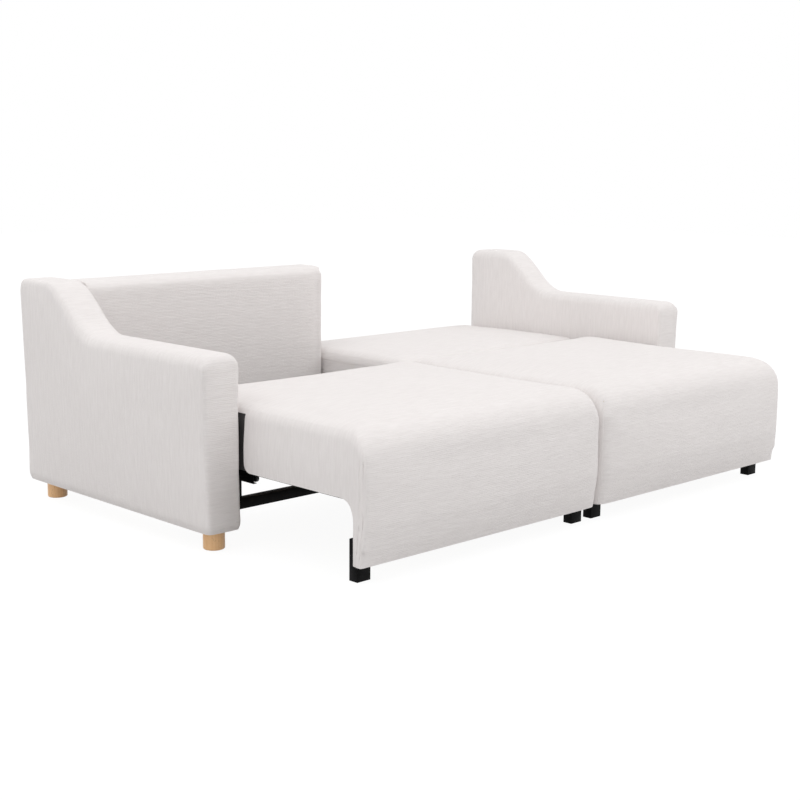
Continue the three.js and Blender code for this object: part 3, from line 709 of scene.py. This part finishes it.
def against_line(places, line):
    """How far places of (y, z) lie from a line of points, how far along it they are, and the direction
    to the left of the line there."""
    line = np.array([tuple(point) for point in line])
    steps = np.diff(line, axis=0)
    lengths = np.maximum(np.hypot(*steps.T), 1e-9)
    starts = np.concatenate([[0.0], np.cumsum(lengths)[:-1]])
    best = np.full(len(places), 1e9)
    along = np.zeros(len(places))
    inward = np.zeros((len(places), 2))
    for start, step, length, before in zip(line, steps, lengths, starts):
        share = np.clip(((places - start) @ step) / length ** 2, 0, 1)
        away = np.hypot(*(places - start - share[:, None] * step).T)
        nearer = away < best
        best[nearer] = away[nearer]
        along[nearer] = before + share[nearer] * length
        inward[nearer] = np.array([-step[1], step[0]]) / length
    return best, along, inward


def rounded(piece, line, side, sign, level_round, front_round=upright_round, fill=upright_fill):
    """Rounds the edge between a side panel and the strip, with level_round where the strip lies on top
    and front_round up the front. Tight edges are filled out. Side is the panel's X, and sign is the way
    it faces."""
    places = points_of(piece.data)
    deep, _, inward = against_line(places[:, 1:], line)
    beside = (side - places[:, 0]) * sign
    on_top = np.clip(-inward[:, 1], 0, 1)
    in_front = np.clip(inward[:, 0], 0, 1)
    radius = upright_round + (level_round - upright_round) * on_top + (front_round - upright_round) * in_front
    corner = np.stack([radius - beside, radius - deep], 1)
    reach = np.hypot(*corner.T)
    outside = (corner > 0).all(1) & (reach > radius)
    pulled = corner * (1 - radius / np.maximum(reach, 1e-9))[:, None]
    places[outside, 0] -= sign * pulled[outside, 0]
    places[outside, 1:] += inward[outside] * pulled[outside, 1:]
    near = np.clip(1 - beside / upright_reach, 0, 1) * np.clip(1 - deep / upright_reach, 0, 1)
    pushed = fill * near * upright_round / radius
    places[:, 0] += sign * pushed
    places[:, 1:] -= inward * pushed[:, None]
    set_points(piece.data, places)


def hollowed(piece, forms):
    """Cuts closed blocks out of the piece."""
    for form in forms:
        mesh = bpy.data.meshes.new("cutter")
        form.to_mesh(mesh)
        form.free()
        cutter = linked("cutter", mesh)
        opening = piece.modifiers.new("opening", "BOOLEAN")
        opening.operation = "DIFFERENCE"
        opening.solver = "EXACT"
        opening.object = cutter
        keep_shape(piece)
        bpy.data.objects.remove(cutter)


def lay_cloth(piece, view, side_run=2):
    """Lays the cloth as a UV map in metres: ribs run along U. They cross the strip from side to side,
    and on the side panels they run along the axis side_run."""
    mesh = piece.data
    places = points_of(mesh)
    _, along, _ = against_line(places[:, 1:], view + view[:1])
    corners = np.empty(len(mesh.loops), np.int64)
    mesh.loops.foreach_get("vertex_index", corners)
    facing = np.empty(len(mesh.polygons) * 3)
    mesh.polygons.foreach_get("normal", facing)
    counts = np.empty(len(mesh.polygons), np.int64)
    mesh.polygons.foreach_get("loop_total", counts)
    is_side = np.repeat(np.abs(facing.reshape(-1, 3)[:, 0]) > math.sqrt(0.5), counts)
    side_across = 3 - side_run
    u = np.where(is_side, places[corners, side_run], places[corners, 0])
    v = np.where(is_side, places[corners, side_across], along[corners])
    layer = mesh.uv_layers.new(name="cloth")
    layer.data.foreach_set("uv", np.stack([u, v], 1).astype(np.float32).ravel())


def mirrored(piece, name):
    """A copy of the piece, mirrored left to right."""
    form = bmesh.new()
    form.from_mesh(piece.data)
    bmesh.ops.scale(form, vec=(-1, 1, 1), verts=form.verts)
    bmesh.ops.reverse_faces(form, faces=form.faces)
    mesh = piece.data.copy()
    form.to_mesh(mesh)
    form.free()
    return linked(name, mesh)


def finished_cover(piece, body, node):
    """Smooth shading with crisp rims, and the calls that tie the cover to the frame."""
    piece.data.shade_smooth()
    piece.data.set_sharp_from_angle(angle=rim_crease)
    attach(piece, body)
    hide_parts(node)


def slub_weave_group():
    """Plain weave with a thicker rib yarn, and slubs: long uneven swellings of that yarn."""
    tree, given, result = new_group(
        "slub_weave",
        [("Cloth", "NodeSocketVector", None), ("Light", "NodeSocketColor", (0.8, 0.8, 0.8, 1)),
         ("Shade", "NodeSocketColor", (0.7, 0.7, 0.7, 1)), ("Rib Spacing", "NodeSocketFloat", 0.005),
         ("Yarn Spacing", "NodeSocketFloat", 0.002)],
        [("Colour", "NodeSocketColor"), ("Height", "NodeSocketFloat")],
    )
    cloth = given.outputs["Cloth"]
    parts = put(tree, "ShaderNodeSeparateXYZ", {0: cloth}).outputs
    wander = maths(tree, "MULTIPLY", maths(tree, "SUBTRACT", noise(tree, cloth, 22.0), 0.5), rib_wander)
    across = maths(tree, "ADD", parts["Y"], wander)

    def wave(way, spacing):
        turns = maths(tree, "DIVIDE", maths(tree, "MULTIPLY", way, 2 * math.pi), given.outputs[spacing])
        return maths(tree, "SINE", turns)

    def above_nought(value):
        return maths(tree, "MULTIPLY", maths(tree, "ADD", value, 1.0), 0.5)

    def stretched(per_metre):
        inputs = {"X": maths(tree, "MULTIPLY", parts["X"], per_metre[0]),
                  "Y": maths(tree, "MULTIPLY", across, per_metre[1])}
        return put(tree, "ShaderNodeCombineXYZ", inputs).outputs[0]

    rib = above_nought(wave(across, "Rib Spacing"))
    crossing = maths(tree, "MULTIPLY", wave(across, "Yarn Spacing"), wave(parts["X"], "Yarn Spacing"))
    weave = above_nought(crossing)
    slub = spread(tree, noise(tree, stretched(slubs_per_metre), 1.0, 2.0, 0.55), 0.36, 0.68)
    thin = noise(tree, stretched(yarns_per_metre), 1.0, 2.0, 0.6)
    cloudy = maths(tree, "SUBTRACT", noise(tree, cloth, clouds_per_metre, 3.0), 0.5)
    tone = weighed(tree, ((slub, 0.46), (thin, 0.3), (rib, 0.12), (weave, 0.1), (cloudy, 0.3)))
    colour = between(tree, tone, given.outputs["Shade"], given.outputs["Light"])
    tree.links.new(colour, result.inputs["Colour"])
    high = weighed(tree, ((slub, 0.5), (rib, 0.3), (weave, 0.35), (thin, 0.4)))
    tree.links.new(high, result.inputs["Height"])
    return tree


def slub_cloth_material():
    made, tree, shader = new_material("slub_cloth", Roughness=0.92, Sheen_Weight=0.12, Sheen_Roughness=0.5,
                                      Specular_IOR_Level=0.2)
    weave = put(tree, "ShaderNodeGroup", node_tree=slub_weave_group())
    tree.links.new(put(tree, "ShaderNodeUVMap", uv_map="cloth").outputs[0], weave.inputs["Cloth"])
    weave.inputs["Light"].default_value = cloth_light
    weave.inputs["Shade"].default_value = cloth_shade
    weave.inputs["Rib Spacing"].default_value = rib_spacing
    weave.inputs["Yarn Spacing"].default_value = yarn_spacing
    tree.links.new(weave.outputs["Colour"], shader.inputs["Base Color"])
    raise_surface(tree, shader, weave.outputs["Height"], weave_depth)
    return made


slub_cloth = slub_cloth_material()
arm_low, arm_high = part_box("left_arm_cover")
arm_view = arm_side_view(arm_low, arm_high, 0.0, arm_low.z - hem_allowance)
arm_form = carried_across(arm_view, arm_low.x + arm_slack, arm_high.x - arm_slack)
left_arm = skinned(arm_form, "left_arm_upholstery", arm_square)
arm_edge = arm_view[1:] + arm_view[:1]
heights = points_of(left_arm.data)[:, 2]
outer_round = np.interp(heights, (arm_front_height, arm_high.z), (arm_outer_round, arm_peak_round))
rounded(left_arm, arm_edge, arm_low.x + arm_slack, -1, outer_round, arm_front_round)
rounded(left_arm, arm_edge, arm_high.x - arm_slack, 1, arm_inner_round)
stuffed(left_arm, lambda places: places[:, 2] < arm_low.z,
        ((arm_outer_swell, arm_inner_swell), (arm_end_swell, arm_end_swell), (0.0, arm_top_swell)),
        arm_fullness)
places = points_of(left_arm.data)
middle = (arm_low + arm_high) / 2
tuck = hem_tuck * np.clip(1 - (places[:, 2] - arm_low.z) / hem_tuck_height, 0, 1) ** 2
for axis in (0, 1):
    off_middle = (places[:, axis] - middle[axis]) / (arm_high[axis] - middle[axis])
    places[:, axis] -= tuck * np.clip(off_middle * hem_tuck_pull, -1, 1)
outer_share = (arm_high.x - places[:, 0]) / (arm_high.x - arm_low.x)
height_share = (places[:, 2] - middle.z) / (arm_high.z - middle.z)
places[:, 0] -= outer_share * height_share * np.where(height_share > 0, arm_top_lean, arm_foot_lean)
set_points(left_arm.data, places)
trimmed(left_arm, (0, 0, arm_low.z), (0, 0, -1))
pocket_view = arm_side_view(arm_low, arm_high, arm_padding, arm_low.z - hem_allowance)
hollowed(left_arm, [carried_across(pocket_view, arm_low.x + arm_padding, arm_high.x - arm_padding)])
lay_cloth(left_arm, arm_view)
left_arm.data.materials.append(slub_cloth)
right_arm = mirrored(left_arm, "right_arm_upholstery")
finished_cover(left_arm, "root", "left_arm_cover")
finished_cover(right_arm, "root", "right_arm_cover")


# The seat covers: the same cloth over foam, with a deep rounded front that runs down as a skirt and
# turns in at both ends as a narrow ear. The side panels end where the arms begin; behind them the sides
# step in, and black non-woven cloth on that step is painted shade, for the shadow of the arm.
seat_square = 0.012
seat_edge_height = 0.432
seat_crown = 0.024
seat_front_bulge = 0.01
seat_front_reach = 0.018
seat_front_swell = 0.012
seat_rear_swell = 0.002
seat_side_swell = 0.004
seat_fullness = 0.5
seat_pressure = 1.5
seat_front_round = 0.088
seat_rear_round = 0.036
seat_side_round = 0.038
seat_inner_upright = 0.036
skirt_tuck = 0.02
skirt_tuck_height = 0.17
outer_flare = 0.012
inner_flare = 0.0045
flare_start = -0.69
flare_length = 0.06
seam_top = 0.35
panel_seam_inset = 0.009
lapped_seam_width = 0.014
seam_half_width = 0.0028
seam_depth = 0.0022
seam_band = 0.012
seam_overlap = 0.004
seam_facing = 0.35
gather_share = 0.2
gathers = (260.0, 210.0)
seat_underside = 0.235
ear_depth = 0.05
ear_arch = 0.06
seat_wall = 0.018
seat_front_wall = 0.025
seat_top_wall = 0.04
panel_end = -0.245
panel_end_top = 0.409
panel_end_round = 0.026
panel_end_depth = 0.012
cut_past = 0.02
# Black felt: the real dust covers on the backs, and painted shade in the seat sides' recess behind the panel
# ends.
felt_and_painted_shade_colour = (0.06, 0.057, 0.057, 1)
felt_and_painted_shade_light = (0.12, 0.115, 0.115, 1)
felt_depth = 0.0003
on_plane = 0.0005


def arc(centre, radius, start, finish, steps=8):
    """Points round part of a circle, in a side view of (y, z); angles in quarter turns."""
    angles = [math.pi / 2 * (start + (finish - start) * step / steps) for step in range(steps + 1)]
    return [(centre[0] + radius * math.cos(angle), centre[1] + radius * math.sin(angle)) for angle in angles]


# This black felt serves the backs' dust covers and also stands as painted shade on the seats' recessed sides.
felt_and_painted_shade, tree, shader = new_material("non_woven_and_painted_shade", Roughness=0.95)
fibres = noise(tree, object_place(tree), 900.0, 4.0, 0.7)
tint = between(tree, spread(tree, fibres, 0.4, 0.75), felt_and_painted_shade_colour, felt_and_painted_shade_light)
tree.links.new(tint, shader.inputs["Base Color"])
raise_surface(tree, shader, fibres, felt_depth)

seat_low, seat_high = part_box("left_seat_cover")
seat_middle = (seat_low.x + seat_high.x) / 2
seat_half = (seat_high.x - seat_low.x) / 2
skirt_front = seat_low.y + seat_front_bulge - seat_front_reach
skirt_bottom = seat_low.z
seat_rear = seat_high.y
ear_rear = skirt_front + ear_depth
allowance = skirt_bottom - hem_allowance
seat_view = [(skirt_front + skirt_tuck, allowance), (seat_rear, allowance)]
seat_view += arc((seat_rear - seat_rear_round, seat_edge_height - seat_rear_round), seat_rear_round, 0, 1)
front_centre = (skirt_front + seat_front_round, seat_edge_height - seat_front_round)
seat_view += arc(front_centre, seat_front_round, 1, 2)
seat_view += [(skirt_front, skirt_tuck_height)]
seat_form = carried_across(seat_view, -seat_half, seat_half)
seat_skin = skinned(seat_form, "left_seat_upholstery", seat_square)
seat_edge = seat_view[1:] + seat_view[:1]
rounded(seat_skin, seat_edge, -seat_half, -1, seat_side_round)
rounded(seat_skin, seat_edge, seat_half, 1, seat_side_round, seat_inner_upright, 0.0)
places = points_of(seat_skin.data)
share = np.clip((flare_start - places[:, 1]) / flare_length, 0, 1)
flare = share * share * (3 - 2 * share) * places[:, 0] / seat_half
places[:, 0] += flare * np.where(places[:, 0] < 0, outer_flare, inner_flare)
set_points(seat_skin.data, places)


def drawn_in(line, inset):
    """A line of (y, z) points moved towards its left-hand side."""
    line = [Vector(point) for point in line]
    moved = []
    for before, here, after in zip(line[:1] + line, line, line[1:] + line[-1:]):
        along = (after - before).normalized()
        moved.append(here + Vector((-along.y, along.x)) * inset)
    return moved


def sewn(piece, line, ways=(-1, 1)):
    """Draws a seam into the side panels that face these ways along X, on a line of (y, z): three close
    cuts, with the middle one sunk."""
    facing = np.empty(len(piece.data.polygons) * 3)
    piece.data.polygons.foreach_get("normal", facing)
    centres = np.empty(len(piece.data.polygons) * 3)
    piece.data.polygons.foreach_get("center", centres)
    away, _, _ = against_line(centres.reshape(-1, 3)[:, 1:], line)
    turned_to = np.max([facing.reshape(-1, 3)[:, 0] * way for way in ways], axis=0)
    beside = (away < seam_band) & (turned_to > seam_facing)
    form = bmesh.new()
    form.from_mesh(piece.data)
    form.faces.ensure_lookup_table()
    band = [form.faces[int(place)] for place in np.flatnonzero(beside)]
    for start, finish in zip(line, line[1:]):
        run = finish - start
        along = run.normalized()
        across = Vector((-along.y, along.x))
        for offset in (-seam_half_width, seam_half_width, 0.0):
            near, others = [], []
            for face in band:
                centre = face.calc_center_median().yz - start
                close = (abs(centre.dot(across)) < seam_band
                         and -seam_overlap < centre.dot(along) < run.length + seam_overlap)
                (near if close else others).append(face)
            verts = list(dict.fromkeys(vert for face in near for vert in face.verts))
            edges = list(dict.fromkeys(edge for face in near for edge in face.edges))
            point = start + across * offset
            cut = bmesh.ops.bisect_plane(form, geom=verts + edges + near, dist=1e-6,
                                         plane_co=(0, point.x, point.y), plane_no=(0, across.x, across.y))
            band = others + [item for item in cut["geom"] if isinstance(item, bmesh.types.BMFace)]
        for vert in cut["geom_cut"]:
            if isinstance(vert, bmesh.types.BMVert):
                wave = math.sin(vert.co.y * gathers[0] + vert.co.z * gathers[1])
                vert.co -= vert.normal * seam_depth * (1 - gather_share + gather_share * wave)
    form.to_mesh(piece.data)
    form.free()


def seat_held(places):
    """The tacked underside and the hem."""
    low = places[:, 2] < seat_underside + 0.5 * seat_square
    under = low & (places[:, 1] > ear_rear - 0.5 * seat_square)
    return under | (places[:, 2] < skirt_bottom)


stuffed(seat_skin, seat_held,
        ((seat_side_swell, seat_side_swell), (seat_front_swell, seat_rear_swell), (0.0, seat_crown)),
        seat_fullness, seat_pressure)
trimmed(seat_skin, (0, 0, skirt_bottom), (0, 0, -1))
upright_edge = [point for point in seat_edge[-3:] if point[1] < seam_top]
upright_edge = [(skirt_front, seam_top)] + upright_edge
for inset in (panel_seam_inset, panel_seam_inset + lapped_seam_width):
    sewn(seat_skin, drawn_in(upright_edge, inset), (-1,))
pocket = [(skirt_front + seat_front_wall, allowance), (seat_rear - seat_wall, allowance),
          (seat_rear - seat_wall, seat_edge_height - seat_top_wall),
          (skirt_front + seat_front_wall, seat_edge_height - seat_top_wall)]
beneath = [(seat_rear + cut_past, allowance), (seat_rear + cut_past, seat_underside)]
beneath += arc((ear_rear + ear_arch, seat_underside - ear_arch), ear_arch, 1, 2, 16) + [(ear_rear, allowance)]
behind_panel = [(seat_rear + cut_past, allowance), (seat_rear + cut_past, panel_end_top),
                (panel_end, panel_end_top)]
behind_panel += arc((panel_end - panel_end_round, seat_underside + panel_end_round), panel_end_round, 0, -1)
behind_panel += [(panel_end - panel_end_round, allowance)]
hollowed(seat_skin, [
    carried_across(pocket, -seat_half + seat_wall, seat_half - seat_wall),
    carried_across(beneath, -seat_half - cut_past, seat_half + cut_past),
    carried_across(behind_panel, -seat_half - cut_past, -seat_half + panel_end_depth),
])
lay_cloth(seat_skin, seat_view)
seat_skin.data.materials.append(slub_cloth)
seat_skin.data.materials.append(felt_and_painted_shade)
# The recess faces behind each side panel get the black felt: painted shade where the arm's shadow falls.
for face in seat_skin.data.polygons:
    low_enough = face.center.y > panel_end and face.center.z < panel_end_top
    if low_enough and abs(face.center.x + seat_half - panel_end_depth) < on_plane:
        face.material_index = 1
seat_skin.data.transform(Matrix.Translation((seat_middle, 0, 0)))
right_seat = mirrored(seat_skin, "right_seat_upholstery")
finished_cover(seat_skin, "left_seat", "left_seat_cover")
finished_cover(right_seat, "right_seat", "right_seat_cover")


# The back covers: a thick cushion that leans upright or lies flat behind its seat. The face that is
# slept on is crowned and wraps over the edges to a seam; the front face is nearly flat.
back_square = 0.011
back_crown = 0.018
back_front_crown = 0.007
back_tip_crown = 0.008
back_side_swell = 0.004
back_fullness = 0.6
back_thickness = 0.177
back_edge_round = 0.034
back_bed_round = 0.06
back_end_round = 0.038
back_end_fill = 0.009
back_seam_drop = 0.04
bed_face_rise = 0.002
back_end_wall = 0.006
back_end_padding = 0.013
back_front_padding = 0.04
back_rear_wall = 0.024
back_top_padding = 0.045
plate_gap = 0.0006

fold = next(joint for joint in frame["joints"] if joint["name"] == "right_back_fold")
pivot = Vector(fold["pos_m"])
flat_low, flat_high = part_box("right_back_cover")
tip = flat_low.y + back_tip_crown - pivot.y
heel = flat_high.y - pivot.y
bed_face = flat_high.z + bed_face_rise - back_crown - pivot.z
lean_face = bed_face - back_thickness
back_half = (flat_high.x - flat_low.x) / 2
heel_allowance = heel + hem_allowance
back_view = [(heel_allowance, lean_face), (heel_allowance, bed_face)]
back_view += arc((tip + back_bed_round, bed_face - back_bed_round), back_bed_round, 1, 2)
back_view += arc((tip + back_edge_round, lean_face + back_edge_round), back_edge_round, 2, 3)
back_form = carried_across(back_view, -back_half, back_half)
back_skin = skinned(back_form, "back_skin", back_square)
back_edge = back_view[1:] + back_view[:1]
for sign in (-1, 1):
    rounded(back_skin, back_edge, sign * back_half, sign, back_end_round, fill=back_end_fill)
stuffed(back_skin, lambda places: places[:, 1] > heel,
        ((back_side_swell, back_side_swell), (back_tip_crown, 0.0), (back_front_crown, back_crown)),
        back_fullness)
trimmed(back_skin, (0, heel, 0), (0, 1, 0))
bed_seam = bed_face - back_seam_drop
sewn(back_skin, [Vector((heel, bed_seam)), Vector((tip, bed_seam))])
pocket = [(tip + back_top_padding, lean_face + back_front_padding),
          (heel + cut_past, lean_face + back_front_padding), (heel + cut_past, bed_face - back_rear_wall),
          (tip + back_top_padding, bed_face - back_rear_wall)]
cutters = [carried_across(pocket, -back_half + back_end_padding, back_half - back_end_padding)]
for end in ends:
    low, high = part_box(f"right_back_{end}_pivot_plate")
    low, high = low - pivot, high - pivot
    outward = 1 if low.x > 0 else -1
    xs = sorted((outward * (back_half - back_end_wall - plate_gap), outward * (back_half + cut_past)))
    near, far = low.yz - Vector((plate_gap, plate_gap)), high.yz + Vector((plate_gap, plate_gap))
    recess = [(near.x, near.y), (far.x, near.y), (far.x, far.y), (near.x, far.y)]
    cutters.append(carried_across(recess, *xs))
hollowed(back_skin, cutters)
lay_cloth(back_skin, back_view, side_run=1)
back_skin.data.materials.append(slub_cloth)
for side, sign, turn in (("left", -1, -math.pi / 2), ("right", 1, 0.0)):
    cover = linked(f"{side}_back_upholstery", back_skin.data.copy())
    placed = Matrix.Translation((sign * abs(pivot.x), pivot.y, pivot.z)) @ Matrix.Rotation(turn, 4, "X")
    cover.data.transform(placed)
    finished_cover(cover, f"{side}_back", f"{side}_back_cover")
bpy.data.objects.remove(back_skin)


# What closes the backs: black non-woven cloth stapled over the lower end, and zinc plated steel
# pivot plates let into both ends, each with its bore and its curved slot.
zinc_colour = (0.46, 0.47, 0.48, 1)
zinc_dull = (0.34, 0.34, 0.35, 1)
plate_edge = 0.0005
zinc = skin_material("zinc", zinc_colour, zinc_dull, roughness=0.38, metallic=1.0,
                     dimple=0.004, depth=0.00002)
for side in sides:
    cloth = nodes[f"{side}_back_dust_cover"]
    cloth.data.materials.clear()
    cloth.data.materials.append(felt_and_painted_shade)
    for end in ends:
        piece = eased(f"{side}_back_{end}_pivot_plate", f"{side}_back_{end}_plate_finish", plate_edge)
        piece.data.materials.append(zinc)
